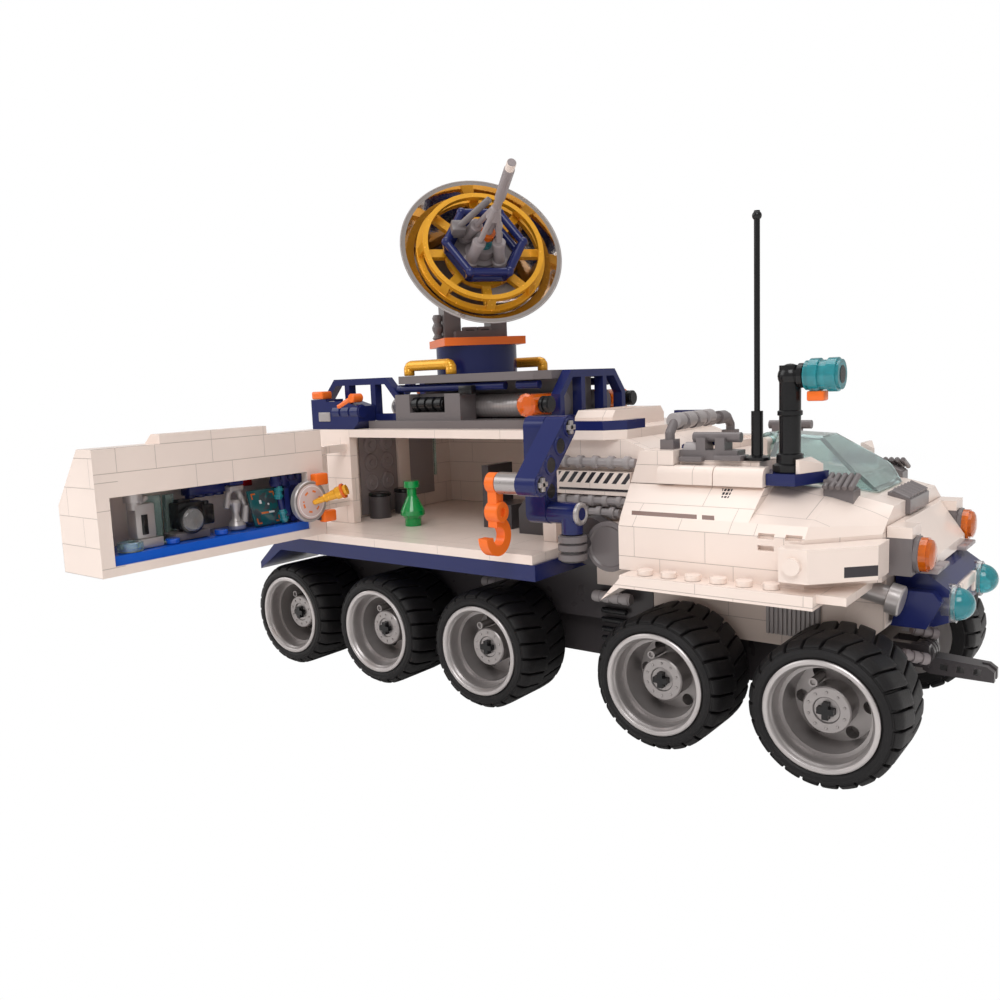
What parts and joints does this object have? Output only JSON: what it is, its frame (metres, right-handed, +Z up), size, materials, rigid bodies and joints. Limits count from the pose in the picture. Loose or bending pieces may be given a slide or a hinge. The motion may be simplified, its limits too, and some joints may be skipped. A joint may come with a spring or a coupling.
{
  "type": "toy planetary rover",
  "caption": "Brick-built planetary rover with a cabin behind a swing-open side door, a roof dish on a turret, a crane arm, a lifting canopy and free-rolling wheelsets.",
  "frame": {"origin": "on the floor, on the centre plane, half way between the first and the last axle", "axes": "+X forward, +Y to the rover's left, +Z up"},
  "size_m": [0.2805, 0.2237, 0.1992],
  "materials": {
    "white": "moulded, glossy",
    "navy": "moulded, glossy",
    "dark_grey": "moulded, satin",
    "grey": "moulded, glossy",
    "black": "moulded, glossy",
    "silver": "flat silver, moulded",
    "rim_grey": "moulded, satin",
    "rubber": "soft black",
    "gold": "pearl gold",
    "mirror": "metallised",
    "orange": "moulded, glossy",
    "clear_orange": "transparent plastic",
    "clear_blue": "transparent plastic",
    "clear_green": "transparent plastic",
    "blue": "moulded, glossy"
  },
  "bodies": {
    "hull": {"arm_base": "dark_grey", "blue_lights": "clear_blue", "bumper": "navy", "cabin_walls": "white", "chassis_spine": "dark_grey", "deck": "grey", "deck_fittings": "grey", "fenders": "white", "flask": "clear_green", "floor_tiles": "white", "handles": "gold", "hood_tiles": "white", "lab_fittings": "dark_grey", "lamp_blocks": "grey", "left_wall": "white", "lower_hull": "white", "mast_plate": "navy", "masts": "black", "mid_hull": "white", "nose": "white", "orange_lamps": "clear_orange", "rails": "navy", "rear_units": "navy", "roof_base": "grey", "roof_plate": "white", "shoulder": "white", "side_pipes": "grey", "sills": "navy", "tanks": "silver"},
    "side_door": {"door_panel": "white", "door_shelf": "blue", "door_gear": "dark_grey"},
    "turret": {"turret_drum": "navy", "turret_plate": "orange", "turret_fork": "grey"},
    "dish": {"dish_neck": "dark_grey", "reflector": "mirror", "spoked_frame": "gold", "feed_frame": "navy"},
    "arm": {"arm_upright": "navy"},
    "boom": {"arm_boom": "navy", "arm_pin": "silver"},
    "hook": {"arm_hook": "orange"},
    "canopy": {"canopy": "clear_blue"},
    "claw": {"claw": "dark_grey"},
    "wheelset_1": {"axle_1": "black", "rims_1": "rim_grey", "tyres_1": "rubber"},
    "wheelset_2": {"axle_2": "black", "rims_2": "rim_grey", "tyres_2": "rubber"},
    "wheelset_3": {"axle_3": "black", "rims_3": "rim_grey", "tyres_3": "rubber"},
    "wheelset_4": {"axle_4": "black", "rims_4": "rim_grey", "tyres_4": "rubber"},
    "wheelset_5": {"axle_5": "black", "rims_5": "rim_grey", "tyres_5": "rubber"}
  },
  "joints": [
    {"name": "wheelset_1_spin", "type": "hinge", "parent": "hull", "child": "wheelset_1", "pos_m": [-0.11225, 0, 0.0216], "axis": [0, 1, 0], "continuous": true},
    {"name": "wheelset_2_spin", "type": "hinge", "parent": "hull", "child": "wheelset_2", "pos_m": [-0.06075, 0, 0.0216], "axis": [0, 1, 0], "continuous": true},
    {"name": "wheelset_3_spin", "type": "hinge", "parent": "hull", "child": "wheelset_3", "pos_m": [-0.00925, 0, 0.0216], "axis": [0, 1, 0], "continuous": true},
    {"name": "wheelset_4_spin", "type": "hinge", "parent": "hull", "child": "wheelset_4", "pos_m": [0.06075, 0, 0.0216], "axis": [0, 1, 0], "continuous": true},
    {"name": "wheelset_5_spin", "type": "hinge", "parent": "hull", "child": "wheelset_5", "pos_m": [0.11225, 0, 0.0216], "axis": [0, 1, 0], "continuous": true},
    {"name": "side_door_swing", "type": "hinge", "parent": "hull", "child": "side_door", "pos_m": [-0.096, -0.054, 0.08], "axis": [0, 0, 1], "range_deg": [-60, 90]},
    {"name": "turret_slew", "type": "hinge", "parent": "hull", "child": "turret", "pos_m": [-0.0535, 0, 0.13], "axis": [0, 0, 1], "continuous": true},
    {"name": "dish_tilt", "type": "hinge", "parent": "turret", "child": "dish", "pos_m": [-0.05744, 0.00308, 0.1586], "axis": [-0.6157, -0.788, 0], "range_deg": [-12, 50]},
    {"name": "arm_slew", "type": "hinge", "parent": "hull", "child": "arm", "pos_m": [0.029, -0.056, 0.07], "axis": [0, 0, 1], "range_deg": [0, 90]},
    {"name": "boom_lift", "type": "hinge", "parent": "arm", "child": "boom", "pos_m": [0.0251, -0.056, 0.1014], "axis": [-1, 0, 0], "range_deg": [0, 60]},
    {"name": "hook_swing", "type": "hinge", "parent": "boom", "child": "hook", "pos_m": [0.0106, -0.07297, 0.08443], "axis": [-1, 0, 0], "range_deg": [-75, 20]},
    {"name": "canopy_lift", "type": "hinge", "parent": "hull", "child": "canopy", "pos_m": [0.077, 0, 0.0936], "axis": [0, -1, 0], "range_deg": [0, 60]},
    {"name": "claw_lift", "type": "hinge", "parent": "hull", "child": "claw", "pos_m": [0.1267, -0.004, 0.027], "axis": [0, -1, 0], "range_deg": [-10, 40]}
  ]
}
